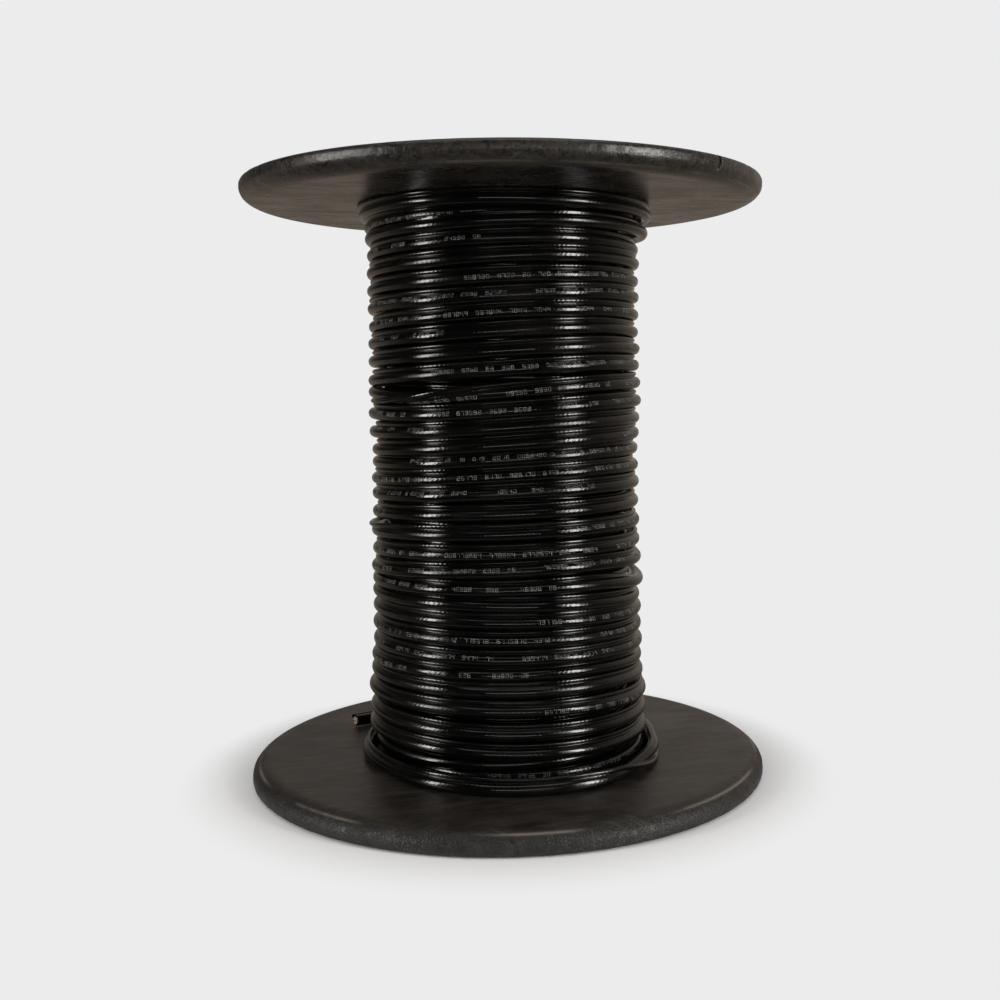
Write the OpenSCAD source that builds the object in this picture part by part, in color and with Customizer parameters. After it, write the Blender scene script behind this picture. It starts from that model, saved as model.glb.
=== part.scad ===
// Reel of coaxial cable with a messenger wire, standing on one flange.
// Two moulded flanges close a core tube, the cable is wound on the tube in level layers,
// and its lowest turn has come loose and lies on the lower flange.
// Millimetres, +Z up along the reel's axis, origin at the middle of the underside.

/* [Flanges] */
// Diameter of each flange
flange_d = 304.8; // [270:0.1:340]
// Thickness of each flange
flange_t = 12.7; // [10:0.1:18]
// Width of the rounded shoulder between the inner face and the rim
shoulder_w = 12; // [5:0.5:18]
// Height of that shoulder
shoulder_h = 8; // [3:0.1:9]
// Radius of the corner between the rim and the outer face
rim_r = 3; // [1:0.1:4]
// Diameter of the spindle hole
arbor_d = 38; // [25:0.1:50]
// Distance between the two inner faces
traverse = 323; // [280:1:380]

/* [Core tube] */
// Outside diameter of the core tube
core_d = 102; // [90:1:110]
// Wall of the core tube
core_wall = 5; // [3:0.5:8]
// Height of the ring on each flange that plugs into the tube
spigot_h = 16; // [8:1:30]
// Wall of that ring
spigot_wall = 6; // [3:0.5:10]
// Clearance between the ring and the tube, on the radius
spigot_fit = 0.15; // [0.05:0.05:0.5]

/* [Cable] */
// Diameter of the cable's round jacket
jacket_d = 6.9; // [6:0.1:7.4]
// Diameter of the covered messenger wire beside it
messenger_d = 2.6; // [1.6:0.1:3]
// Width of the web that joins the two
web_w = 0.35; // [0.2:0.05:0.8]

/* [Winding] */
// Diameter over the crests of the outer layer
winding_d = 160; // [146:1:164]
// Distance from one turn to the next along the axis
turn_pitch = 10; // [9.5:0.1:12]
// Height that one layer adds on the radius
layer_step = 6.4; // [5:0.1:7]
// Radius that the topmost turn gains by riding on the outer layer
ride_up = 5.6; // [1:0.1:7]
// Height above the lower flange at which the outer layer ends
open_foot = 14.4; // [12:0.1:30]
// Radius that the lowest turn of the layer below gains by slipping outwards under the outer layer
foot_slip = 6.1; // [4:0.1:7]
// Distance that the turn above it stays further in
foot_lean = 1.5; // [0:0.1:2]
// Height of that turn above the lowest one
foot_rise = 6.6; // [6:0.1:7]
// Clearance round the winding, from the tube and the flanges
winding_gap = 0.3; // [0.1:0.05:0.6]

/* [Hidden] */
$fn = 96;

flange_r = flange_d / 2;
shoulder_low = max(flange_t - shoulder_h, rim_r);
reel_h = traverse + 2 * flange_t;
core_bore_r = core_d / 2 - core_wall;
spigot_r = core_bore_r - spigot_fit;

jacket_r = jacket_d / 2;
messenger_r = messenger_d / 2;
messenger_side = jacket_r + web_w + messenger_r;

winding_bore_r = core_d / 2 + winding_gap;
winding_low = flange_t + winding_gap;
winding_high = flange_t + traverse - winding_gap;
turn_r = winding_d / 2 - jacket_r;
inner_turn_r = turn_r - layer_step;
top_turn_r = turn_r + ride_up;

// Heights of the topmost turn, and of the first and last turn of the outer layer
top_turn_z = winding_high - messenger_d - web_w - jacket_r;
last_turn_z = top_turn_z - turn_pitch;
first_turn_z = flange_t + open_foot + jacket_r;
turn_gaps = floor((last_turn_z - first_turn_z) / turn_pitch);
laid_pitch = (last_turn_z - first_turn_z) / turn_gaps;
inner_turn_z = winding_low + jacket_r;
foot_turn_r = inner_turn_r + foot_slip;

// Route of the loose turn: x, y and height of its middle above the lower flange.
// From its cut end on the far left it passes behind the reel, comes round the front and slips under the
// winding again on the left.
loose_route = [
    [-98, 41.8, 3.9], [-90.5, 46.5, 3.75], [-76, 55.6, 3.75], [-56, 67, 3.75], [-35, 77, 3.75],
    [-13, 83.6, 3.75], [10, 85.5, 3.75], [33, 80.2, 3.75], [53, 68.3, 3.8], [70, 51, 4.3],
    [81, 28, 5.6], [85, 4, 6.4], [85.2, -14, 6.4], [84.6, -29, 6.4], [80.8, -43, 6],
    [73.3, -57, 4.9], [63.8, -71.5, 4], [51.5, -84.5, 3.75], [33, -94.4, 3.75], [12, -98.8, 3.75],
    [-8, -98.2, 3.75], [-25.5, -92.8, 3.75], [-42, -84, 3.75], [-57, -70.3, 3.75], [-67.5, -56.5, 3.75],
    [-76, -41, 3.75], [-81.8, -25, 3.75], [-84, -9, 3.75], [-83.5, 7, 3.75], [-81.1, 21, 3.75],
    [-76.1, 35, 3.75]
];
loose_sides = 10;
rings_per_span = 2;

function lerp_end(a, b) = 2 * a - b;

// Point of the smooth curve through four neighbouring route points, at t from 0 to 1
function curve_point(a, b, c, d, t) =
    0.5 * (2 * b + (c - a) * t + (2 * a - 5 * b + 4 * c - d) * t * t
        + (3 * b - a - 3 * c + d) * t * t * t);

// Centres of the rings along the whole route
function curve_points(route, steps) =
    let (last = len(route) - 1)
    concat(
        [for (i = [0 : last - 1], k = [0 : steps - 1])
            curve_point(
                i > 0 ? route[i - 1] : lerp_end(route[0], route[1]),
                route[i],
                route[i + 1],
                i + 2 <= last ? route[i + 2] : lerp_end(route[last], route[last - 1]),
                k / steps)],
        [route[last]]
    );

function unit(v) = v / norm(v);

// One ring of the tube, square to the route at its point i
function ring_points(path, i, radius, sides) =
    let (
        last = len(path) - 1,
        along = unit(path[min(i + 1, last)] - path[max(i - 1, 0)]),
        side = unit(cross(along, [0, 0, 1])),
        up = cross(side, along)
    )
    [for (k = [0 : sides - 1])
        path[i] + radius * (cos(360 * k / sides) * side + sin(360 * k / sides) * up)];

// Closed tube with flat ends along a list of ring centres
module swept_tube(path, radius, sides) {
    rings = len(path);
    points = [for (i = [0 : rings - 1]) each ring_points(path, i, radius, sides)];
    walls = [for (i = [0 : rings - 2], k = [0 : sides - 1])
        let (
            a = i * sides + k,
            b = i * sides + (k + 1) % sides
        )
        each [[a, b, b + sides], [a, b + sides, a + sides]]];
    near_end = [for (k = [sides - 1 : -1 : 0]) k];
    far_end = [for (k = [0 : sides - 1]) (rings - 1) * sides + k];
    polyhedron(points = points, faces = concat([near_end, far_end], walls));
}

// Points of a quarter ellipse from start to end degrees, round a middle at x and y
function quarter(x, y, across, high, start, end, step) =
    [for (a = [start : step : end]) [x + across * cos(a), y + high * sin(a)]];

// Half section of a flange lying on its outer face: plate, round rim and rounded shoulder
module flange_section() {
    polygon(concat(
        [[arbor_d / 2, 0]],
        quarter(flange_r - rim_r, rim_r, rim_r, rim_r, -90, -15, 15),
        quarter(flange_r - shoulder_w, shoulder_low, shoulder_w, flange_t - shoulder_low, 0, 90, 10),
        [[arbor_d / 2, flange_t]]
    ));
    translate([spigot_r - spigot_wall, flange_t / 2]) square([spigot_wall, flange_t / 2 + spigot_h]);
}

module flange() {
    rotate_extrude() flange_section();
}

module lower_flange() {
    color([0.20, 0.19, 0.18]) flange();
}

module upper_flange() {
    color([0.20, 0.19, 0.18]) translate([0, 0, reel_h]) mirror([0, 0, 1]) flange();
}

module core_tube() {
    color([0.13, 0.12, 0.12]) translate([0, 0, flange_t]) difference() {
        cylinder(r = core_d / 2, h = traverse);
        translate([0, 0, -1]) cylinder(r = core_bore_r, h = traverse + 2);
    }
}

// Section of one turn: the round jacket with the messenger wire above it
module turn_section(radius, height) {
    translate([radius, height]) circle(jacket_r);
    translate([radius, height + messenger_side]) circle(messenger_r);
}

// Half section of the wound cable: the filled layers with the turns of the outside
module winding_section() {
    layers_top = last_turn_z + messenger_side;
    translate([winding_bore_r, winding_low])
        square([inner_turn_r - winding_bore_r, winding_high - winding_low]);
    translate([inner_turn_r - 1, first_turn_z])
        square([turn_r - inner_turn_r + 1, layers_top - first_turn_z]);
    translate([inner_turn_r - 1, layers_top - 1])
        square([top_turn_r - inner_turn_r + 1, winding_high - layers_top + 1 - messenger_r]);
    for (i = [0 : turn_gaps]) turn_section(turn_r, first_turn_z + i * laid_pitch);
    turn_section(top_turn_r, top_turn_z);
    translate([inner_turn_r - 1, inner_turn_z])
        square([foot_turn_r - foot_lean - inner_turn_r + 1, first_turn_z - inner_turn_z]);
    turn_section(foot_turn_r, inner_turn_z);
    turn_section(foot_turn_r - foot_lean, inner_turn_z + foot_rise);
}

module cable_winding() {
    color([0.05, 0.05, 0.05]) rotate_extrude() winding_section();
}

module loose_turn() {
    color([0.05, 0.05, 0.05]) translate([0, 0, flange_t])
        swept_tube(curve_points(loose_route, rings_per_span), jacket_r, loose_sides);
}

lower_flange();
upper_flange();
core_tube();
cable_winding();
loose_turn();
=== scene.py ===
# %% [markdown]
# A reel of coaxial cable
#
# The real thing is a black moulded reel, standing on one flange, with a few layers of cable left on it.
# The cable is a round coaxial jacket with a thin messenger wire moulded along one side.
# The CAD model gives the sizes and plain rings for the winding. This lesson lays a real helix of cable in
# its place, moulds the flanges with their nicks and scuffs, and lights everything like a product photo.

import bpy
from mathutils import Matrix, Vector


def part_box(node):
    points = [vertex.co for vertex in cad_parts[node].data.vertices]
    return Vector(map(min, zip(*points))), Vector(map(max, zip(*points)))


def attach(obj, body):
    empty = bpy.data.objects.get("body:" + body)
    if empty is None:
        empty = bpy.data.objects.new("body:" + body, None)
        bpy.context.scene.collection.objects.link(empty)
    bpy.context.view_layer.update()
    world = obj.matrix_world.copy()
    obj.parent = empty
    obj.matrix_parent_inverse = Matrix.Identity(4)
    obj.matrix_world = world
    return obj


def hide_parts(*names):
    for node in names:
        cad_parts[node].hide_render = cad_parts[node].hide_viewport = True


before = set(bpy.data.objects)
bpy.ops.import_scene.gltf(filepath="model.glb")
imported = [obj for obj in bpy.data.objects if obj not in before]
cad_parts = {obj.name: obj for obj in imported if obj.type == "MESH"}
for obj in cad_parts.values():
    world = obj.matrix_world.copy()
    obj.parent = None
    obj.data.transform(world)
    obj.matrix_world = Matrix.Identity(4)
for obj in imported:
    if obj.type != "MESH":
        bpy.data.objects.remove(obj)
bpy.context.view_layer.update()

# %% Tools that every cell uses
import math

import bpy
import numpy as np
from mathutils import Matrix, Vector

MM = 0.001
scene = bpy.context.scene
scene.view_settings.view_transform = "Standard"

# %% [markdown]
# Camera
#
# The photo looks almost level at the reel from the height of its upper half, so the underside of the upper
# flange and the top of the lower one both show. A camera could be turned with Euler angles, but three
# axes worked out from pitch, yaw and roll are easier to check: the columns of its matrix are the right,
# up and backward directions. The roll is the slight lean of the photo. The photo is a crop whose middle
# isn't the lens's axis, so a small shift moves the picture without turning the camera.

# %% Set up the camera
focal_px = 1239.1
image_px = 1000.0
camera_pitch = math.radians(3.332)
camera_yaw = math.radians(-1.908)
camera_roll = math.radians(0.632)
camera_place = Vector((0.0, -0.7449, 0.2339))

look = Vector((
    -math.sin(camera_yaw) * math.cos(camera_pitch),
    math.cos(camera_yaw) * math.cos(camera_pitch),
    -math.sin(camera_pitch),
))
level_right = look.cross(Vector((0, 0, 1))).normalized()
level_up = level_right.cross(look)
right = level_right * math.cos(camera_roll) - level_up * math.sin(camera_roll)
up = level_right * math.sin(camera_roll) + level_up * math.cos(camera_roll)

camera_data = bpy.data.cameras.new("photo_camera")
camera_data.sensor_width = 36.0
camera_data.lens = focal_px / image_px * camera_data.sensor_width
camera_data.shift_x = -0.0467
camera_data.shift_y = -0.04905
camera = bpy.data.objects.new("photo_camera", camera_data)
scene.collection.objects.link(camera)
camera.matrix_world = Matrix.Translation(camera_place) @ Matrix((right, up, -look)).transposed().to_4x4()
scene.camera = camera
print("lens in mm:", round(camera_data.lens, 2))

# %% [markdown]
# Grids that become meshes
#
# Nearly every piece here is a grid of points: rows along a path or round an axis, columns round a section.
# Working the grid out as one numpy array is quick and keeps the formula readable. One helper then joins
# neighbouring points into quads, closes the grid where it wraps round, and stores UVs in metres, so that a
# material can follow the cable along its length.

# %% Turn a grid of points into a mesh
def grid_piece(name, points, wrap_rows, row_uv, col_uv, capped=False):
    """Joins a rows x columns x 3 grid, in mm, into a mesh piece in metres.

    Columns always wrap round; rows wrap when asked. Corner (row, column) has UV (row_uv, col_uv), which
    have one entry more than the grid where it wraps. Caps close the first and last row with one flat
    face each, which has its own corners, so that it doesn't bend the shading of the row it closes.
    """
    rows, cols = points.shape[:2]
    row, col = np.meshgrid(np.arange(rows if wrap_rows else rows - 1), np.arange(cols), indexing="ij")
    next_row = (row + 1) % rows
    next_col = (col + 1) % cols
    quads = np.stack(
        [row * cols + col, row * cols + next_col, next_row * cols + next_col, next_row * cols + col], -1
    ).reshape(-1, 4)
    uv = np.stack([
        row_uv[row], col_uv[col], row_uv[row], col_uv[col + 1],
        row_uv[row + 1], col_uv[col + 1], row_uv[row + 1], col_uv[col],
    ], -1).reshape(-1)
    faces = quads.tolist()
    corners = points.reshape(-1, 3)
    if capped:
        first_cap = len(corners)
        last_cap = first_cap + cols
        corners = np.concatenate([corners, points[0], points[-1]])
        faces.append(list(range(last_cap - 1, first_cap - 1, -1)))
        faces.append(list(range(last_cap, last_cap + cols)))
        uv = np.concatenate([uv, np.zeros(4 * cols)])
    mesh = bpy.data.meshes.new(name)
    mesh.from_pydata((corners * MM).tolist(), [], faces)
    mesh.uv_layers.new(name="along").data.foreach_set("uv", uv)
    mesh.polygons.foreach_set("use_smooth", np.arange(len(faces)) < len(quads))
    mesh.update()
    piece = bpy.data.objects.new(name, mesh)
    scene.collection.objects.link(piece)
    cap_triangles = 2 * (cols - 2) if capped else 0
    print(name, "has", 2 * len(quads) + cap_triangles, "triangles")
    return piece


# %% [markdown]
# The cable's section
#
# Cut across, the cable looks like an 8 with one small half: a round jacket, a thin web and the messenger
# wire in its own sleeve. A circle swept along a path would miss the messenger, so the outline is drawn
# once as two arcs and carried along the path. Which way the messenger points is the twist angle:
# 0 degrees is away from the reel's axis, 90 is up.

# %% Outline of the section and how it is carried along a path
jacket_r = 3.45
messenger_r = 1.3
web = 0.35
half_web = 0.42
messenger_side = jacket_r + web + messenger_r


def cable_outline(jacket_steps, messenger_steps):
    """Outline of the section in mm: a big arc round the jacket, then a small one round the messenger.

    The two straight gaps between the arcs are the sides of the web. Counter-clockwise, with the
    messenger on the second axis.
    """
    big_gap = math.asin(half_web / jacket_r)
    small_gap = math.asin(half_web / messenger_r)
    big = np.linspace(math.pi / 2 + big_gap, 5 * math.pi / 2 - big_gap, jacket_steps)
    small = np.linspace(-math.pi / 2 + small_gap, 3 * math.pi / 2 - small_gap, messenger_steps)
    jacket = np.stack([np.cos(big), np.sin(big)], -1) * jacket_r
    messenger = np.stack([np.cos(small), np.sin(small)], -1) * messenger_r + [0, messenger_side]
    return np.concatenate([jacket, messenger])


def unit(v):
    """Each row of v divided by its length."""
    return v / np.linalg.norm(v, axis=-1, keepdims=True)


class CablePath:
    """Centres of the jacket along a cable, with three directions and the twist at each of them."""

    def __init__(self, centres, outward, twist_deg):
        """Along is the path's slope, out the given outward direction squared to it, up completes them."""
        self.centres = centres
        self.along = unit(np.gradient(centres, axis=0))
        self.out = unit(outward - (outward * self.along).sum(-1, keepdims=True) * self.along)
        self.up = np.cross(self.along, self.out)
        self.twist = np.radians(twist_deg)
        steps = np.linalg.norm(np.diff(centres, axis=0), axis=-1)
        self.length = np.concatenate([[0.0], np.cumsum(steps)])

    def section_axes(self, twist):
        """Messenger axis = out cos t + up sin t; side axis = out sin t - up cos t."""
        c, s = np.cos(twist)[:, None], np.sin(twist)[:, None]
        return self.out * s - self.up * c, self.out * c + self.up * s

    def swept(self, outline):
        """Grid of points: centre + outline across x side axis + outline along x messenger axis."""
        side, messenger = self.section_axes(self.twist)
        return (
            self.centres[:, None]
            + outline[None, :, :1] * side[:, None]
            + outline[None, :, 1:] * messenger[:, None]
        )


def cable_piece(name, path, outline):
    """Cable along a path, with UVs in metres: length along it, and distance round the section."""
    closed = np.concatenate([outline, outline[:1]])
    round_mm = np.concatenate([[0.0], np.cumsum(np.linalg.norm(np.diff(closed, axis=0), axis=-1))])
    return grid_piece(name, path.swept(outline), False, path.length * MM, round_mm * MM, capped=True)


# %% [markdown]
# The loose turn
#
# The lowest turn has come off the winding. From its cut end on the far left it passes behind the reel,
# comes round the front on the lower flange and slips under the winding again on the left. Its route repeats
# the points of the CAD model, and three more lead it out of sight. A curve object with a bevel could follow
# them, but only the swept section shows the messenger rolling over the jacket, as it does on the right of
# the photo. A Catmull-Rom curve passes smoothly through every point.

# %% Lay the loose turn
flange_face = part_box("core_tube")[0].z / MM
loose_route = np.array([
    [-98, 41.8, 3.9], [-90.5, 46.5, 3.75], [-76, 55.6, 3.75], [-56, 67, 3.75], [-35, 77, 3.75],
    [-13, 83.6, 3.75], [10, 85.5, 3.75], [33, 80.2, 3.75], [53, 68.3, 3.8], [70, 51, 4.3],
    [81, 28, 5.6], [85, 4, 6.4], [85.2, -14, 6.4], [84.6, -29, 6.4], [80.8, -43, 6],
    [73.3, -57, 4.9], [63.8, -71.5, 4], [51.5, -84.5, 3.75], [33, -94.4, 3.75], [12, -98.8, 3.75],
    [-8, -98.2, 3.75], [-25.5, -92.8, 3.75], [-42, -84, 3.75], [-57, -70.3, 3.75], [-67.5, -56.5, 3.75],
    [-76, -41, 3.75], [-81.8, -25, 3.75], [-84, -9, 3.75], [-83.5, 7, 3.75], [-81.1, 21, 3.75],
    [-76.1, 35, 3.75], [-65, 50, 3.75], [-51, 60.5, 3.75], [-38, 67, 3.75],
]) + [0, 0, flange_face]


def smooth_route(route, steps):
    """Catmull-Rom curve: a cubic through each pair of points, sloped by the points on either side."""
    ends = np.concatenate([[2 * route[0] - route[1]], route, [2 * route[-1] - route[-2]]])
    a, b, c, d = (ends[k:len(route) - 1 + k, None] for k in range(4))
    t = (np.arange(steps) / steps)[None, :, None]
    spans = 0.5 * (
        2 * b + (c - a) * t + (2 * a - 5 * b + 4 * c - d) * t ** 2 + (3 * b - a - 3 * c + d) * t ** 3
    )
    return np.concatenate([spans.reshape(-1, 3), route[-1:]])


loose_centres = smooth_route(loose_route, 10)
loose_level = np.diff(loose_centres, axis=0, append=2 * loose_centres[-1:] - loose_centres[-2:-1])
loose_out = np.cross([0, 0, 1], loose_level)
loose_share = np.linspace(0, len(loose_route) - 1, len(loose_centres))
# Route point and twist: on the right the jacket stands on its messenger, which comes up again in front
loose_twist = np.interp(
    loose_share,
    [0, 5, 8, 10, 11, 13.4, 14.4, 15.4, 16.4, 17.6, 20, 26, 29, 33],
    [20, 30, -10, -50, -65, -65, -40, 5, 55, 80, 92, 90, 100, 120],
)
loose_path = CablePath(loose_centres, loose_out, loose_twist)
cable_tail = cable_piece("cable_tail", loose_path, cable_outline(22, 11))
print("loose turn is", round(loose_path.length[-1]), "mm long")

# %% [markdown]
# The outer layer
#
# The cable runs clockwise down the reel, seen from above, one turn every 10 mm. A perfect helix would look
# like a screw thread, so the height, radius and twist of the lay are curves through a few knots,
# as measured on the photo: the topmost turns ride on each other, one turn rolls its messenger across the
# jacket, one bulges on the right, and the last three hang loose. Slow seeded noise does the rest.
# The turn number s grows down the reel and is whole behind it.

# %% Curves for the lay
def eased(s, knots, spread):
    """Straight runs between the knots (s, value), rounded off by a bell-shaped moving average."""
    x, y = np.array(knots, dtype=float).T
    line = np.interp(s, x, y)
    bell = np.hanning(2 * spread + 3)[1:-1]
    return np.convolve(np.pad(line, spread, mode="edge"), bell / bell.sum(), mode="valid")


def wander(s, seed, step, size):
    """Slow noise: one random value every step turns, joined by smooth S-shaped runs."""
    values = np.random.default_rng(seed).normal(0.0, size, int(s.max() / step) + 3)
    cell = np.floor(s / step).astype(int)
    f = s / step - cell
    f = f * f * (3 - 2 * f)
    return values[cell] * (1 - f) + values[cell + 1] * f


rows_per_turn = 92
last_s = 33.0
# Half widths, in rows, over which the knots of the lay are rounded off
lay_spread = 6
twist_spread = 5
lean_spread = 20
calm_spread = 10
s = np.linspace(0, last_s, int(last_s * rows_per_turn) + 1)
round_angle = np.radians(90 - 360 * s)
round_out = np.stack([np.cos(round_angle), np.sin(round_angle), np.zeros_like(s)], -1)

lay_height = eased(s, [
    (0, 331.9), (0.75, 331.8), (1, 329), (1.25, 325.5), (1.75, 322.9), (1.875, 323.7), (2, 325.4),
    (2.2, 328.8), (2.44, 329.1), (2.6, 330.3), (2.75, 330.6), (2.875, 329.6), (3, 325.9), (3.125, 321),
    (3.25, 319), (3.42, 319.2), (3.58, 317), (3.75, 314.9), (4.51, 308.8), (9.51, 259.6), (11.51, 238.6),
    (12.51, 226.7), (15.51, 197.8), (16.51, 190.1), (18.51, 170.9), (19.51, 159.8), (21.51, 138.4),
    (23.51, 119.6), (26.51, 90.5), (29.51, 62.8), (30.51, 53), (31.51, 40), (32.51, 29.3), (32.76, 27.2),
    (32.92, 23.9), (33, 23.8),
], lay_spread)
lay_radius = eased(s, [
    (0, 73.5), (0.75, 73.5), (1, 73.5), (1.25, 73.5), (1.5, 75), (1.73, 78.3), (1.875, 79), (2, 80.5),
    (2.27, 85), (2.44, 83), (2.58, 82), (2.73, 80.8), (2.9, 83.5), (3, 87.5), (3.125, 86), (3.27, 82.3),
    (3.5, 79.6), (3.73, 77.8), (4.25, 76.6), (5, 77), (8, 77), (11, 77.2), (14.7, 77.4), (15.15, 76.2),
    (17.5, 76.2), (19.3, 76.8), (22, 77), (25, 76.8), (28, 77.4), (29.3, 78), (30.2, 79.6), (32.6, 79.6),
    (32.92, 80.2), (33, 80.2),
], lay_spread)
lay_twist = eased(s, [
    (0, 25), (0.8, 25), (1.2, 57), (1.8, 57), (2.1, 75), (2.5, 75), (2.6, 50), (2.85, 48), (3.05, 85),
    (3.2, 115), (3.8, 100), (4.25, 92), (12.44, 92), (12.57, 45), (12.62, 0), (12.69, -55), (12.75, -88),
    (12.83, -65), (12.95, -35), (13.25, 92), (20.6, 92), (20.72, 48), (20.8, 48), (20.95, 92), (23.05, 92),
    (23.15, 150), (23.3, 150), (23.42, 95), (33, 92),
], twist_spread)
lean = eased(s, [
    (4.2, 1.3), (8, 1.4), (9, 3), (11, 2.4), (13, 3.1), (16, 3.3), (17, 1.8), (18, 2), (19.2, 0), (22, 0.4),
    (23, 1.2), (24, -2.4), (27, -2.9), (28.5, -1.4), (29.2, -1.2), (30.2, -3.2), (32.5, -4),
], lean_spread)
lean = lean * np.clip(s - 3.8, 0, 1)
# Width of the bell round the left or right edge, as a part of a turn
side_width = 0.11


def nudge(middle, width, size):
    """A bell of that size round turn position middle, width turns wide."""
    return size * np.exp(-((s - middle) / width) ** 2)


def at_side(part, knots):
    """Values through the knots (s, value), times a bell round one side of the reel.

    The side is a part of a turn: 0.25 is the right edge, 0.75 the left one.
    """
    off = (s - part + 0.5) % 1 - 0.5
    return eased(s, knots, lean_spread) * np.exp(-(off / side_width) ** 2)


# The turns sag on the right, most where one bulges, and sit a little higher on the left of the upper half
right_sag = at_side(0.25, [
    (3.6, 0), (4.25, -2.4), (5.25, -2), (7.25, -1.4), (8.25, -2.2), (9.25, -4), (10.25, -3.3),
    (11.25, -2.2), (12.25, -1.3), (13.25, -1.5), (15.25, -1.8), (16.25, -2.4), (18.25, -2.4), (19.25, -1.6),
    (20.25, -2.4), (21.25, -3.2), (22.25, -4.4), (23.25, -8.6), (24.25, -4.4), (25.25, -3), (27.25, -3),
    (28.25, -4.4), (29.25, -4.8), (30.25, -4), (31.25, -2), (32.25, -1),
])
left_lift = at_side(0.75, [
    (3, 0), (3.75, 1.4), (6.75, 1.2), (7.75, 0.2), (8.75, 0.8), (10.75, 1.2), (11.75, 0.5), (12.75, 6.7),
    (13.75, 3.6), (14.75, 2), (15.75, 0.8), (17, 0), (19.75, -0.4), (22.75, -1.6), (24.75, -0.6),
    (26.75, 0),
])
calm = eased(s, [(4, 0.25), (5, 1), (31, 1), (32.5, 0.5), (33, 0)], calm_spread)
turn_z = lay_height + lean * np.cos(round_angle) + calm * (wander(s, 3, 0.21, 0.2) + wander(s, 4, 1.7, 0.3))
turn_z = turn_z + right_sag + left_lift
turn_r = lay_radius + calm * (wander(s, 5, 0.17, 0.25) + wander(s, 6, 0.8, 0.35))
# The turn that bulges on the right, and the one below it that lies further in
turn_r = turn_r + nudge(23.22, 0.08, 2.0) + nudge(24.25, 0.12, -1.0)
turn_twist = lay_twist + calm * wander(s, 7, 0.3, 7)

outer_centres = round_out * turn_r[:, None]
outer_centres[:, 2] = turn_z
outer_path = CablePath(outer_centres, round_out, turn_twist)
outer_layer = cable_piece("cable_outer_layer", outer_path, cable_outline(17, 8))
print("outer layer:", round(outer_path.length[-1] * MM, 2), "m of cable")

# %% [markdown]
# The layer below
#
# Through the gaps one sees the layer below, laid the other way: it climbs as it goes round. At the foot of
# the reel the outer layer runs into it behind, and its first two turns lie open above the loose turn.
# It can be much coarser than the outer layer.

# %% Lay the inner layer
inner_last_s = 29.9
inner_rows_per_turn = 60
inner_spread = 4
inner_s = np.linspace(0, inner_last_s, int(inner_last_s * inner_rows_per_turn) + 1)
inner_angle = np.radians(90 - 360 * inner_s)
inner_out = np.stack([np.cos(inner_angle), np.sin(inner_angle), np.zeros_like(inner_s)], -1)
inner_z = eased(inner_s, [
    (0, 23.8), (0.07, 23.7), (0.25, 17), (0.35, 16.3), (0.75, 16.4), (1.2, 22), (1.5, 22.3), (1.75, 21.8),
    (2, 25), (2.25, 29.2), (2.6, 32), (inner_last_s, 310.2),
], inner_spread)
inner_r = eased(inner_s, [
    (0, 80.2), (0.07, 80.2), (0.22, 78.6), (0.48, 78.3), (0.56, 75.5), (0.66, 71), (0.95, 70.3),
    (1.25, 71), (1.4, 72.5), (1.52, 75), (1.6, 76.2), (1.75, 76.6), (2, 74), (2.25, 71.3), (2.5, 70.3),
], inner_spread)
inner_twist = eased(inner_s, [
    (0, 92), (0.25, 170), (0.8, 170), (1.15, 105), (1.8, 105), (2.2, 90),
], inner_spread)
deeper = np.clip(inner_s - 2, 0, 1)
inner_centres = inner_out * (inner_r + deeper * wander(inner_s, 11, 0.25, 0.3))[:, None]
inner_centres[:, 2] = inner_z + deeper * wander(inner_s, 12, 0.3, 0.15)
inner_path = CablePath(inner_centres, inner_out, inner_twist + deeper * wander(inner_s, 13, 0.4, 8))
inner_layer = cable_piece("cable_inner_layer", inner_path, cable_outline(14, 7))

# %% [markdown]
# Print on the jacket
#
# Such a cable carries a row of small print along its whole length. Here it is plain running numbers, as a
# cable has for its length. A texture could draw them, but real strokes keep the print sharp and let it
# follow every twist. Each stroke of a seven-stroke digit is a thin closed block, bent onto the jacket by
# two numbers: the distance along the cable and the distance round it.

# %% Digits as strokes on the jacket
digit_w = 1.35
digit_h = 2.0
stroke = 0.26
ink_top = 0.05
ink_root = -0.08
digit_step = 2.3
blank_steps = 1.6
print_margin = 12.0
drift_mm = 140.0
number_stride = 7919
print_side = -70.0
foot_side = -150.0
# Stretch of the inner layer, in mm from its start, whose print shows at the foot
foot_first = 84.0
foot_last = 272.0

x0, x1 = -digit_w / 2, digit_w / 2
y0, y1 = -digit_h / 2, digit_h / 2
t = stroke / 2
# Seven strokes as left, low, right and high edges: top, upper right, lower right, foot, lower left,
# upper left and middle
strokes = np.array([
    [x0 - t, y1 - t, x1 + t, y1 + t], [x1 - t, 0, x1 + t, y1 + t], [x1 - t, y0 - t, x1 + t, 0],
    [x0 - t, y0 - t, x1 + t, y0 + t], [x0 - t, y0 - t, x0 + t, 0], [x0 - t, 0, x0 + t, y1 + t],
    [x0 - t, -t, x1 + t, t],
])
digit_strokes = [
    [0, 1, 2, 3, 4, 5], [1, 2], [0, 1, 3, 4, 6], [0, 1, 2, 3, 6], [1, 2, 5, 6],
    [0, 2, 3, 5, 6], [0, 2, 3, 4, 5, 6], [0, 1, 2], [0, 1, 2, 3, 4, 5, 6], [0, 1, 2, 3, 5, 6],
]
# One printed length: groups of digits with a blank between them; a group of none makes a blank longer
group_sizes = [
    6, 4, 2, 3, 4, 9, 6, 7, 4, 5, 0, 0, 0, 5, 4, 6, 4, 2, 0, 0, 0, 6, 6, 4, 4, 0, 0, 0, 5, 0, 3, 0, 0, 5, 2,
]
print_repeat = 610.0


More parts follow.
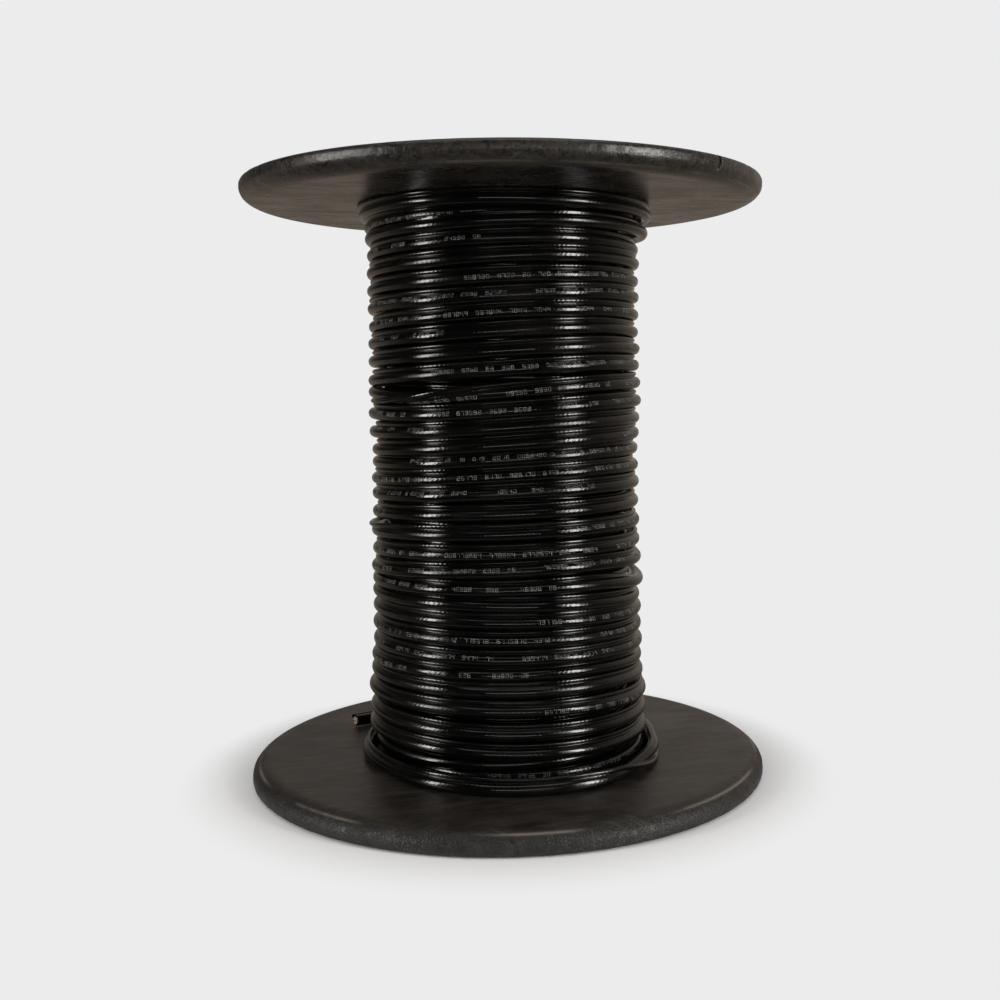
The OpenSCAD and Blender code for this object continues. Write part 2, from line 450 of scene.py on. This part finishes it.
def print_strokes(first_mm, last_mm, first_number):
    """Edges of every stroke between two lengths: distance along, low, high edges as rows of four numbers.

    The text reads against the path's direction, so a stroke's left edge is further along the cable.
    """
    rows = []
    number = first_number
    start = last_mm
    while start > first_mm:
        pen = start - print_margin
        for size in group_sizes:
            figures = str(number * number_stride % 10 ** size).zfill(size) if size else ""
            for figure in figures:
                if pen > first_mm:
                    edges = strokes[digit_strokes[int(figure)]]
                    left, low, right, high = edges.T
                    rows.append(np.stack([pen - left, low, pen - right, high], -1))
                pen -= digit_step
            pen -= blank_steps * digit_step
        number += 2
        start -= print_repeat
    return np.concatenate(rows)


def print_piece(name, path, first_mm, last_mm, first_number, side_deg, drift):
    """Print along a path: each stroke is a block of eight corners.

    A corner lies at its distance along the cable, at an angle round the jacket equal to the twist plus the
    print's side plus height / radius, and at the jacket's radius plus the ink's top or root. The drift is
    a slow swing of that side.
    """
    edges = print_strokes(first_mm, last_mm, first_number)
    along = edges[:, [0, 2, 2, 0, 0, 2, 2, 0]].reshape(-1)
    high = edges[:, [1, 1, 3, 3, 1, 1, 3, 3]].reshape(-1)
    reach = np.tile(np.repeat([jacket_r + ink_root, jacket_r + ink_top], 4), len(edges))

    def at(values):
        return np.stack([np.interp(along, path.length, values[:, k]) for k in range(3)], -1)

    turned = np.interp(along, path.length, path.twist) + math.radians(side_deg) + high / jacket_r
    turned = turned + drift * np.sin(along / drift_mm)
    direction = unit(at(path.out)) * np.cos(turned)[:, None] + unit(at(path.up)) * np.sin(turned)[:, None]
    points = at(path.centres) + direction * reach[:, None]
    block = np.array([[0, 1, 2, 3], [4, 7, 6, 5], [0, 4, 5, 1], [1, 5, 6, 2], [2, 6, 7, 3], [3, 7, 4, 0]])
    faces = (np.arange(len(edges))[:, None, None] * 8 + block).reshape(-1, 4)
    mesh = bpy.data.meshes.new(name)
    mesh.from_pydata((points * MM).tolist(), [], faces.tolist())
    mesh.update()
    piece = bpy.data.objects.new(name, mesh)
    scene.collection.objects.link(piece)
    print(name, "has", 2 * len(faces), "triangles")
    return piece


def length_at(turn):
    """Length of cable from the top down to that turn number, in mm."""
    return float(np.interp(turn, s, outer_path.length))


jacket_print = print_piece(
    "jacket_print", outer_path, length_at(4.1), length_at(30.46) + print_margin, 842, print_side, 0.22
)
top_print = print_piece("top_print", outer_path, length_at(0.2), length_at(1.85), 806, print_side, 0.1)
foot_print = print_piece("foot_print", inner_path, foot_first, foot_last, 902, foot_side, 0.1)

# %% [markdown]
# The cut end
#
# The stub on the left shows what the cable is made of: a copper-clad conductor, white foam round it, foil
# and braid, and the jacket. Three small turned shapes stand out of the jacket's flat end, each a profile
# of radius against length turned round the end's own direction.

# %% Turn the layers of the cut end
def turned_end(name, profile, sides):
    """Profile of (length, radius) rows turned round the cut end's direction, closed at both tips."""
    angle = np.linspace(0, 2 * np.pi, sides, endpoint=False)
    ring = np.cos(angle)[:, None] * loose_path.out[0] - np.sin(angle)[:, None] * loose_path.up[0]
    profile = np.array(profile, dtype=float)
    points = (
        loose_path.centres[0]
        - profile[:, None, :1] * loose_path.along[0]
        + profile[:, None, 1:] * ring[None]
    )
    return grid_piece(
        name, points, False, profile[:, 0] * MM, np.linspace(0, 2 * np.pi, sides + 1) * MM, capped=True
    )


end_conductor = turned_end("end_conductor", [(-2, 0.51), (1.5, 0.51), (1.7, 0.42), (1.75, 0.2)], 14)
end_foam = turned_end(
    "end_foam", [(-2, 2.3), (0.5, 2.3), (0.62, 2.2), (0.66, 1.9), (0.6, 0.9), (0.5, 0.55)], 28
)
end_braid = turned_end("end_braid", [(-2, 2.75), (0.2, 2.75), (0.34, 2.68), (0.36, 2.5), (0.3, 2.36)], 32)

# %% [markdown]
# Flanges
#
# Each flange is a turned moulding: spindle hole, flat face, a wide rounded shoulder and a low round rim.
# The CAD node has that shape, but the photo shows knocks along the rim and one open crack in the upper one.
# So the section is turned once more with numpy, and small bells of depth are taken off the radius near the
# rim.

# %% Outline of a flange with rounded corners
flange_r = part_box("lower_flange")[1].x / MM
reel_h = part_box("upper_flange")[1].z / MM
flange_t = flange_face
arbor_r = 19.0
shoulder_w = 12.0
shoulder_h = 8.0
rim_corner = 3.0
spigot_out = 45.85
spigot_in = 39.85
spigot_top = flange_t + 16.0


def rounded(corners, steps):
    """Outline through corners (x, y, radius): each corner becomes an arc between its two tangent points."""
    c = np.array(corners, dtype=float)
    here, radius = c[:, :2], c[:, 2]
    back = unit(np.roll(here, 1, axis=0) - here)
    ahead = unit(np.roll(here, -1, axis=0) - here)
    half = np.arccos(np.clip((back * ahead).sum(-1), -1, 1)) / 2
    reach = (radius / np.tan(half))[:, None]
    middle = here + unit(back + ahead) * (radius / np.sin(half))[:, None]
    f = np.linspace(0, 1, steps)[None, :, None]
    chord = (here + back * reach)[:, None] * (1 - f) + (here + ahead * reach)[:, None] * f
    return (middle[:, None] + unit(chord - middle[:, None]) * radius[:, None, None]).reshape(-1, 2)


arc_steps = 6
sharp_outline = rounded([
    (arbor_r, 0, 0.8), (flange_r, 0, rim_corner), (flange_r, flange_t, 1.0), (spigot_out, flange_t, 0.4),
    (spigot_out, spigot_top, 0.8), (spigot_in, spigot_top, 0.8), (spigot_in, flange_t, 1.2),
    (arbor_r, flange_t, 0.8),
], arc_steps)
# The third corner becomes the shoulder: a quarter of an ellipse from the rim to the inner face
swing = np.linspace(0, np.pi / 2, 14)
shoulder = np.stack(
    [flange_r - shoulder_w * (1 - np.cos(swing)), flange_t - shoulder_h * (1 - np.sin(swing))], -1
)
flange_outline = np.concatenate([sharp_outline[:2 * arc_steps], shoulder, sharp_outline[3 * arc_steps:]])
print("flange outline:", len(flange_outline), "points")

# %% Turn the flanges and knock their rims
# Height of the painted highlight line along the shoulder, where the lamps glint on the round-over
shoulder_highlight_z = 10.69
crack_deg = -42.56
crack_mid = 3.8
crack_half = 3.6
crack_depth = 2.4
crack_width = 0.22
lip_off = 0.5
lip_height = 0.35
crack_turns = np.radians(crack_deg + np.linspace(-1.6, 1.6, 41))
flange_step_deg = 0.45
knocks = 90
knock_height = 2.0
ripple = 0.05


def flange_piece(name, seed, upper):
    """Turned outline: x = r cos a, y = r sin a, z = height, with knocks taken off the radius.

    A knock is a bell of depth over the angle times a bell over the height, near one of the rim's corners.
    The crack is a narrow groove that leans across the rim, with its far lip standing proud.
    """
    rng = np.random.default_rng(seed)
    angle = np.radians(np.arange(-180, 180, flange_step_deg))
    if upper:
        angle = np.sort(np.concatenate([angle, crack_turns + 1e-5]))
    radius = flange_outline[None, :, 0] * np.ones((len(angle), 1))
    height = flange_outline[None, :, 1] * np.ones((len(angle), 1))
    near_rim = np.clip((radius - flange_r + 8) / 7, 0, 1)
    place = rng.uniform(-np.pi, np.pi, knocks)
    width = np.radians(rng.uniform(0.4, 1.3, knocks))
    level = rng.choice([0.6, flange_t * 0.35, flange_t * 0.68], knocks, p=[0.45, 0.3, 0.25])
    depth = rng.uniform(0.08, 0.5, knocks) ** 1.5
    turn_gap = (angle[:, None] - place[None] + np.pi) % (2 * np.pi) - np.pi
    over_angle = np.exp(-(turn_gap / width) ** 2) * depth
    over_height = np.exp(-((height[0][:, None] - level[None]) / knock_height) ** 2)
    dent = over_angle @ over_height.T * near_rim
    dent = dent + near_rim * ripple * (1 + np.sin(angle * 47 + 3 * np.sin(angle * 5)))[:, None]
    crack_and_shade = np.zeros_like(dent)
    worn_dent = dent
    if upper:
        lean_deg = crack_deg + 0.35 * np.sin(height / flange_t * 6.0)
        off = np.degrees(angle)[:, None] - lean_deg
        tall = near_rim * np.exp(-((height - crack_mid) / crack_half) ** 4)
        lip = tall * np.exp(-((off - lip_off) / crack_width) ** 2)
        # Mask of the crack's groove, which the material also paints near black as painted shade
        crack_and_shade = tall * np.exp(-(off / crack_width) ** 2)
        worn_dent = dent + lip
        dent = dent + crack_depth * crack_and_shade - lip_height * lip
    radius = radius - dent
    z = reel_h - height if upper else height
    points = np.stack([radius * np.cos(angle)[:, None], radius * np.sin(angle)[:, None], z], -1)
    points = points[::-1] if upper else points
    round_uv = np.concatenate([angle, angle[:1] + 2 * np.pi]) * flange_r * MM
    steps = np.linalg.norm(np.diff(flange_outline, axis=0, append=flange_outline[:1]), axis=-1)
    outline_uv = np.concatenate([[0.0], np.cumsum(steps)]) * MM
    piece = grid_piece(name, points, True, round_uv, outline_uv)
    # Painted highlight: a thin band on the shoulder that the material paints pale
    shoulder_highlight = np.exp(-((height - shoulder_highlight_z) / 0.4) ** 2) * (radius > flange_r - shoulder_w)
    corner = np.maximum(np.exp(-(height / 1.6) ** 2), 0.5 * np.exp(-((height - 9.5) / 2.2) ** 2))
    worn = np.clip(near_rim * corner + worn_dent * 1.2, 0, 1) * (1 - crack_and_shade)
    for key, values in (("worn", worn), ("rim", near_rim), ("shoulder_highlight", shoulder_highlight), ("crack_and_shade", crack_and_shade)):
        values = values[::-1] if upper else values
        piece.data.attributes.new(key, "FLOAT", "POINT").data.foreach_set("value", values.reshape(-1))
    return piece


lower_moulding = flange_piece("lower_flange_moulding", 21, False)
upper_moulding = flange_piece("upper_flange_moulding", 22, True)

# %% [markdown]
# Shader sums as Python
#
# Node trees are hard to read as lists of links. One small class wraps a socket, so that a mask can be
# written as a sum: adding, multiplying or subtracting two of them adds the Math node for it. Every other
# node comes from its node method: kind, settings, and what goes into its sockets.

# %% A socket that can be used in sums
class Wire:
    """One output socket of a shader tree; sums of wires add Math nodes."""

    def __init__(self, tree, socket=None):
        self.tree = tree
        self.socket = socket

    def node(self, kind, settings=None, sockets=None, out=0):
        """Adds a node: its settings first, then its sockets' values or links. Gives one output."""
        made = self.tree.nodes.new(kind)
        for key, value in (settings or {}).items():
            setattr(made, key, value)
        for key, value in (sockets or {}).items():
            if isinstance(value, Wire):
                self.tree.links.new(value.socket, made.inputs[key])
            else:
                made.inputs[key].default_value = value
        return Wire(self.tree, made.outputs[out])

    def sum(self, operation, *values):
        """Math node with that operation on wires or numbers."""
        return self.node("ShaderNodeMath", {"operation": operation}, dict(enumerate(values)))

    def __add__(self, other):
        return self.sum("ADD", self, other)

    def __radd__(self, other):
        return self.sum("ADD", other, self)

    def __sub__(self, other):
        return self.sum("SUBTRACT", self, other)

    def __rsub__(self, other):
        return self.sum("SUBTRACT", other, self)

    def __mul__(self, other):
        return self.sum("MULTIPLY", self, other)

    def __rmul__(self, other):
        return self.sum("MULTIPLY", other, self)

    def between(self, low, high):
        """0 below low, 1 above high, with an S-shaped rise."""
        return self.node(
            "ShaderNodeMapRange", {"interpolation_type": "SMOOTHSTEP"},
            {"Value": self, "From Min": low, "From Max": high},
        )

    def noise(self, scale, detail=2.0, rough=0.5, stretch=(1, 1, 1), turn=(0, 0, 0), place=(0, 0, 0)):
        """Noise from 0 to 1 on these coordinates, turned back and then stretched by a Mapping node."""
        mapped = self.node(
            "ShaderNodeMapping", {"vector_type": "TEXTURE"},
            {"Vector": self, "Location": place, "Rotation": turn, "Scale": [1 / k for k in stretch]},
        )
        return self.node(
            "ShaderNodeTexNoise", None,
            {"Vector": mapped, "Scale": scale, "Detail": detail, "Roughness": rough}, out="Fac",
        )

    def blend(self, low, high):
        """Colour mix: low where this wire is 0, high where it is 1."""
        return self.node(
            "ShaderNodeMix", {"data_type": "RGBA"}, {0: self, 6: low, 7: high}, out=2,
        )


def new_material(name):
    """An empty material and the wire that its nodes start from."""
    material = bpy.data.materials.new(name)
    material.use_nodes = True
    material.node_tree.nodes.clear()
    return material, Wire(material.node_tree)


def close_material(desk, sockets, bump):
    """Principled surface with those sockets; bump is (height, strength, distance in metres)."""
    height, strength, distance = bump
    normal = desk.node(
        "ShaderNodeBump", None, {"Height": height, "Strength": strength, "Distance": distance},
    )
    surface = desk.node("ShaderNodeBsdfPrincipled", None, {**sockets, "Normal": normal})
    output = desk.tree.nodes.new("ShaderNodeOutputMaterial")
    desk.tree.links.new(surface.socket, output.inputs["Surface"])


# %% [markdown]
# Black jacket
#
# Extruded polyethylene is almost black and satin-glossy. Its gloss is what one sees: long highlights that
# break up where the braid and foam below make the skin uneven. So the colour stays dark and the bump does
# the work, on the UV map, in metres along and round the cable: a lumpy swell, a faint weave and fine grain.

# %% Jacket material
braid_step = 2.7 * MM


def jacket_material(name, dust):
    """Satin black jacket; dust is how much of a pale film shows in its colour."""
    material, desk = new_material(name)
    along = desk.node("ShaderNodeTexCoord", out="UV")
    place = desk.node("ShaderNodeTexCoord", out="Object")
    swell = along.noise(1.0, 2.0, 0.5, stretch=(140, 90, 1))
    show = along.noise(1.0, 2.0, 0.5, stretch=(60, 60, 1)).between(0.35, 0.65)
    length = desk.node("ShaderNodeSeparateXYZ", None, {0: along}, out="X")
    girth = desk.node("ShaderNodeSeparateXYZ", None, {0: along}, out="Y")
    strands = 2 * math.pi / braid_step
    one_way = desk.sum("SINE", (length + girth) * strands)
    other_way = desk.sum("SINE", (length - girth) * strands)
    braid = one_way + 0.4 * other_way
    grain = along.noise(1.0, 3.0, 0.6, stretch=(2600, 2600, 1))
    smear = along.noise(1.0, 3.0, 0.6, stretch=(22, 260, 1)).between(0.38, 0.68)
    film = place.noise(26.0, 4.0, 0.6).between(0.42, 0.72)
    colour = (film * dust).blend((0.0012, 0.0012, 0.0011, 1), (0.03, 0.0275, 0.0245, 1))
    roughness = 0.06 + smear * 0.19 + film * 0.05 + grain * 0.03
    height = swell * 0.11 + braid * show * 0.016 + grain * 0.006
    close_material(
        desk, {"Base Color": colour, "Roughness": roughness, "IOR": 1.5}, (height, 1.0, MM),
    )
    return material


jacket_black = jacket_material("jacket_black", 0.10)
jacket_deep = jacket_material("jacket_deep", 0.05)

# %% [markdown]
# Moulded flange
#
# The flanges are black, browned by dust. Their flat faces are smooth enough to mirror the cable and the
# room, broken by long tilted scratches; their rims are mottled, with pores, dust and pale rubs where they
# were knocked. Rim, wear, the crack with painted shade inside it and a painted highlight line along the
# shoulder are attributes on the mesh, worked out above from the shape, so they follow it from every side.
# The upper flange is the glossier one, and its rim has less pitting.

# %% Flange material
def flange_material(name, gloss, line, rim_dull, rim_colour, blot_colour):
    """Black moulding: gloss is the roughness it starts from, line the strength of the painted highlight
    line.

    The rim has its own two colours, ground and mottling; rim_dull makes it rougher and more pitted.
    """
    material, desk = new_material(name)
    place = desk.node("ShaderNodeTexCoord", out="Object")
    worn, rim, shoulder_highlight, crack_and_shade = (
        desk.node("ShaderNodeAttribute", {"attribute_name": key}, out="Fac")
        for key in ("worn", "rim", "shoulder_highlight", "crack_and_shade")
    )
    streak = place.noise(1.0, 4.0, 0.6, stretch=(11, 130, 130), turn=(0, 0, 0.34))
    fine = place.noise(1.0, 4.0, 0.65, stretch=(40, 520, 520), turn=(0, 0, 0.3))
    across = place.noise(1.0, 3.0, 0.6, stretch=(420, 26, 420), turn=(0, 0, -0.6)).between(0.58, 0.72)
    cloud = place.noise(13.0, 4.0, 0.6)
    smudge = place.noise(50.0, 4.0, 0.65, stretch=(0.6, 1, 1)).between(0.35, 0.68)
    blot = place.noise(330.0, 4.0, 0.65).between(0.38, 0.62)
    pores = place.noise(760.0, 2.0, 0.5).between(0.54, 0.64)
    dusty = place.noise(24.0, 3.0, 0.55, place=(2, 5, 1)).between(0.5, 0.66)
    dots = place.noise(1000.0, 1.0, 0.4).between(0.56, 0.7) * (0.12 + dusty * 0.88)
    grain = place.noise(1500.0, 2.0, 0.6)
    scratch = fine.between(0.5, 0.7)
    scuff_field = place.noise(22.0, 3.0, 0.55, place=(-3, -1, 0)).between(0.52, 0.68)
    scuff_lines = place.noise(1.0, 3.0, 0.7, stretch=(60, 600, 60), turn=(0, 0, -0.3)).between(0.48, 0.66)
    scuff = scuff_field * scuff_lines
    rub = worn * place.noise(160.0, 4.0, 0.65).between(0.42, 0.66)
    shade = streak * 0.4 + cloud * 0.3 + smudge * 0.3
    base = shade.between(0.2, 0.8).blend((0.007, 0.0059, 0.0049, 1), (0.024, 0.0197, 0.0161, 1))
    base = (scratch * 0.45).blend(base, (0.05, 0.041, 0.034, 1))
    base = (rim * 0.8).blend(base, (*rim_colour, 1))
    base = (rim * blot * 0.6).blend(base, (*blot_colour, 1))
    base = (rim * pores * 0.8).blend(base, (0.002, 0.0018, 0.0016, 1))
    base = ((scuff + across * 0.3) * 0.22).blend(base, (0.13, 0.112, 0.096, 1))
    base = (rub * 0.14).blend(base, (0.12, 0.11, 0.1, 1))
    # Painted highlight: a pale line along the shoulder, in patches
    base = (shoulder_highlight * cloud.between(0.42, 0.6) * line).blend(base, (0.16, 0.138, 0.118, 1))
    base = ((rim * 0.5 + 0.04) * dots * 0.36).blend(base, (0.2, 0.185, 0.17, 1))
    # Painted shade: the inside of the crack is near black and dull
    colour = crack_and_shade.blend(base, (0.0008, 0.0007, 0.0006, 1))
    pitting = 0.35 + 0.65 * rim_dull
    smooth = gloss + streak * 0.12 + smudge * 0.1 + scuff * 0.12 - scratch * 0.05
    roughness = smooth + rim * rim_dull * (0.1 + blot * 0.14) + crack_and_shade * 0.4
    height = (
        streak * 0.2 + fine * 0.5 + grain * 0.15 + scuff * 0.2 - rub * 0.35
        + rim * pitting * (blot * 0.5 - pores * 0.8)
    )
    close_material(
        desk, {"Base Color": colour, "Roughness": roughness, "IOR": 1.5}, (height, 0.5, 0.0004),
    )
    return material


flange_lower = flange_material(
    "flange_satin_black", 0.28, 0.85, 1.0, (0.0025, 0.0021, 0.0018), (0.015, 0.0122, 0.0102)
)
flange_upper = flange_material(
    "flange_gloss_black", 0.17, 0.25, 0.15, (0.007, 0.0059, 0.0051), (0.03, 0.0245, 0.0205)
)

# %% [markdown]
# Core tube, print ink and the metals of the cut end
#
# The tube is a plain extruded pipe with draw lines along it. The ink is thin and worn, so it fades to the
# jacket's black in patches. Copper, foam and braid are only a few millimetres across, but each gets its own
# uneven colour and gloss.

# %% Small finishes
def simple_material(name, dark, pale, scale, rough, metal, stretch=(1, 1, 1), depth=0.0002):
    """Two colours mixed by noise on Object coordinates, with the same noise in roughness and bump."""
    material, desk = new_material(name)
    place = desk.node("ShaderNodeTexCoord", out="Object")
    patch = place.noise(scale, 4.0, 0.6, stretch=stretch)
    grain = place.noise(scale * 9, 2.0, 0.6, stretch=stretch)
    close_material(
        desk,
        {
            "Base Color": patch.between(0.35, 0.68).blend((*dark, 1), (*pale, 1)),
            "Roughness": rough + patch * 0.2,
            "Metallic": metal,
        },
        (patch + grain * 0.4, 0.4, depth),
    )
    return material


tube_black = simple_material(
    "tube_black", (0.014, 0.0135, 0.013), (0.03, 0.028, 0.026), 30.0, 0.4, 0.0, stretch=(6, 6, 0.4)
)
print_ink = simple_material("print_ink", (0.012, 0.012, 0.012), (0.19, 0.19, 0.185), 420.0, 0.5, 0.0)
# A darker copy of the ink, for the print at the foot of the reel
dim_ink = simple_material("dim_ink", (0.006, 0.006, 0.006), (0.1, 0.1, 0.097), 420.0, 0.5, 0.0)
copper = simple_material("cut_copper", (0.55, 0.24, 0.13), (0.8, 0.42, 0.28), 900.0, 0.25, 1.0)
foam_white = simple_material("foam_white", (0.17, 0.155, 0.135), (0.34, 0.32, 0.29), 1200.0, 0.45, 0.0)
braid_silver = simple_material("braid_silver", (0.1, 0.1, 0.1), (0.35, 0.35, 0.36), 2200.0, 0.3, 1.0)

# %% Give every piece its finish
finishes = [
    (cable_tail, jacket_black), (outer_layer, jacket_black), (inner_layer, jacket_deep),
    (jacket_print, print_ink), (top_print, print_ink), (foot_print, dim_ink), (end_conductor, copper),
    (end_foam, foam_white), (end_braid, braid_silver), (lower_moulding, flange_lower),
    (upper_moulding, flange_upper),
]
for piece, material in finishes:
    piece.data.materials.append(material)
core_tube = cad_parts["core_tube"]
core_tube.data.materials.clear()
core_tube.data.materials.append(tube_black)
print("finishes:", sorted({material.name for piece, material in finishes}))

# %% [markdown]
# Floor, backdrop and light
#
# The photo is a cut-out on even pale grey. The floor is a pale plane: near the reel it is ordinary and
# takes the shadow, and further out it passes into the grey of the world, which only camera, mirror and
# glass rays see. Two tall soft boxes stand left and right of the camera and give the two columns of
# highlights on the turns. A wider, weaker lamp behind each of them softens its edge; one lamp above and a
# flat strip behind the camera fill in. The rest of the room there is dark, so the front of the cable stays
# black.

# %% Floor
backdrop = (0.84, 0.84, 0.84)
mirrored = (0.28, 0.232, 0.184)
room_glow = (0.39, 0.342, 0.3)
dark_room = (0.02, 0.0185, 0.017)
floor_half = 4.0
floor_drop = 0.0004
plain_to = 0.145
even_from = 0.2
floor_mesh = bpy.data.meshes.new("floor")
floor_mesh.from_pydata(
    [(-floor_half, -floor_half, 0), (floor_half, -floor_half, 0), (floor_half, floor_half, 0),
     (-floor_half, floor_half, 0)],
    [], [(0, 1, 2, 3)],
)
floor = bpy.data.objects.new("floor", floor_mesh)
floor.location.z = -floor_drop
scene.collection.objects.link(floor)

floor_material, desk = new_material("floor_pale")
place = desk.node("ShaderNodeTexCoord", out="Object")
distance = desk.node("ShaderNodeVectorMath", {"operation": "LENGTH"}, {0: place}, out="Value")
plain_floor = desk.node("ShaderNodeBsdfDiffuse", None, {"Color": (0.86, 0.86, 0.86, 1)})
camera_ray, glossy_ray, clear_ray = (
    desk.node("ShaderNodeLightPath", out="Is %s Ray" % ray) for ray in ("Camera", "Glossy", "Transmission")
)
behind = desk.node("ShaderNodeSeparateXYZ", None, {0: place}, out="Y").between(-0.35, 0.6)
grey = glossy_ray.blend((*backdrop, 1), behind.blend((*dark_room, 1), (*mirrored, 1)))
even_grey = desk.node("ShaderNodeEmission", None, {"Color": grey, "Strength": 1.0})
seen = (camera_ray + glossy_ray + clear_ray) * distance.between(plain_to, even_from)
surface = desk.node("ShaderNodeMixShader", None, {0: seen, 1: plain_floor, 2: even_grey})
output = desk.tree.nodes.new("ShaderNodeOutputMaterial")
desk.tree.links.new(surface.socket, output.inputs["Surface"])
floor_mesh.materials.append(floor_material)

# %% World
world = bpy.data.worlds.new("studio")
scene.world = world
world.use_nodes = True
world.node_tree.nodes.clear()
desk = Wire(world.node_tree)
direction = desk.node("ShaderNodeTexCoord", out="Generated")
to_right, to_back = (desk.node("ShaderNodeSeparateXYZ", None, {0: direction}, out=axis) for axis in "XY")
room = (to_back * 0.8 + to_right * 0.5).between(0.0, 1.05).blend((*dark_room, 1), (*room_glow, 1))
camera_ray, glossy_ray, clear_ray = (
    desk.node("ShaderNodeLightPath", out="Is %s Ray" % ray) for ray in ("Camera", "Glossy", "Transmission")
)
ambient = (0.35, 0.35, 0.35, 1)
light = glossy_ray.blend((camera_ray + clear_ray).blend(ambient, (*backdrop, 1)), room)
background = desk.node("ShaderNodeBackground", None, {"Color": light, "Strength": 1.0})
output = desk.tree.nodes.new("ShaderNodeOutputWorld")
desk.tree.links.new(background.socket, output.inputs["Surface"])

# %% Soft boxes
reel_middle = Vector((0, 0, reel_h * MM / 2))


def soft_box(name, place, width, height, radiance, colour):
    """Rectangular lamp facing the reel; its power is radiance x pi x area."""
    lamp = bpy.data.lights.new(name, "AREA")
    lamp.shape = "RECTANGLE"
    lamp.size = width
    lamp.size_y = height
    lamp.energy = radiance * math.pi * width * height
    lamp.color = colour
    box = bpy.data.objects.new(name, lamp)
    box.location = place
    box.rotation_euler = (reel_middle - Vector(place)).to_track_quat("-Z", "Y").to_euler()
    scene.collection.objects.link(box)
    return box


warm = (1.0, 0.97, 0.93)
soft_box("left_box", (-1.374, -0.6, 0.42), 0.28, 1.0, 13.5, warm)
soft_box("left_glow", (-1.39, -0.61, 0.42), 0.6, 1.0, 1.1, warm)
soft_box("right_box", (1.265, -0.81, 0.42), 0.3, 1.0, 14.5, warm)
soft_box("right_glow", (1.28, -0.82, 0.42), 0.72, 1.0, 1.9, warm)
soft_box("top_box", (0.0, -0.2, 1.7), 1.4, 1.0, 1.2, (1.0, 1.0, 1.0))
soft_box("front_strip", (0.1, -1.9, 0.4), 1.5, 0.14, 4.5, warm)

# %% [markdown]
# Who carries what
#
# Nothing moves on this reel, so every piece rides on the one body. The new pieces stand for their CAD
# nodes, which are hidden; the loose turn has a cut end.

# %% Rides and replaced nodes
pieces = [piece for piece, material in finishes]
for piece in pieces:
    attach(piece, "root")
mouldings = (lower_moulding, upper_moulding)
for piece in pieces:
    "flange_plastic" if piece in mouldings else "cable_jacket"
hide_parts("lower_flange")
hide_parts("upper_flange")
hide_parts("cable_winding")
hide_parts("loose_turn")
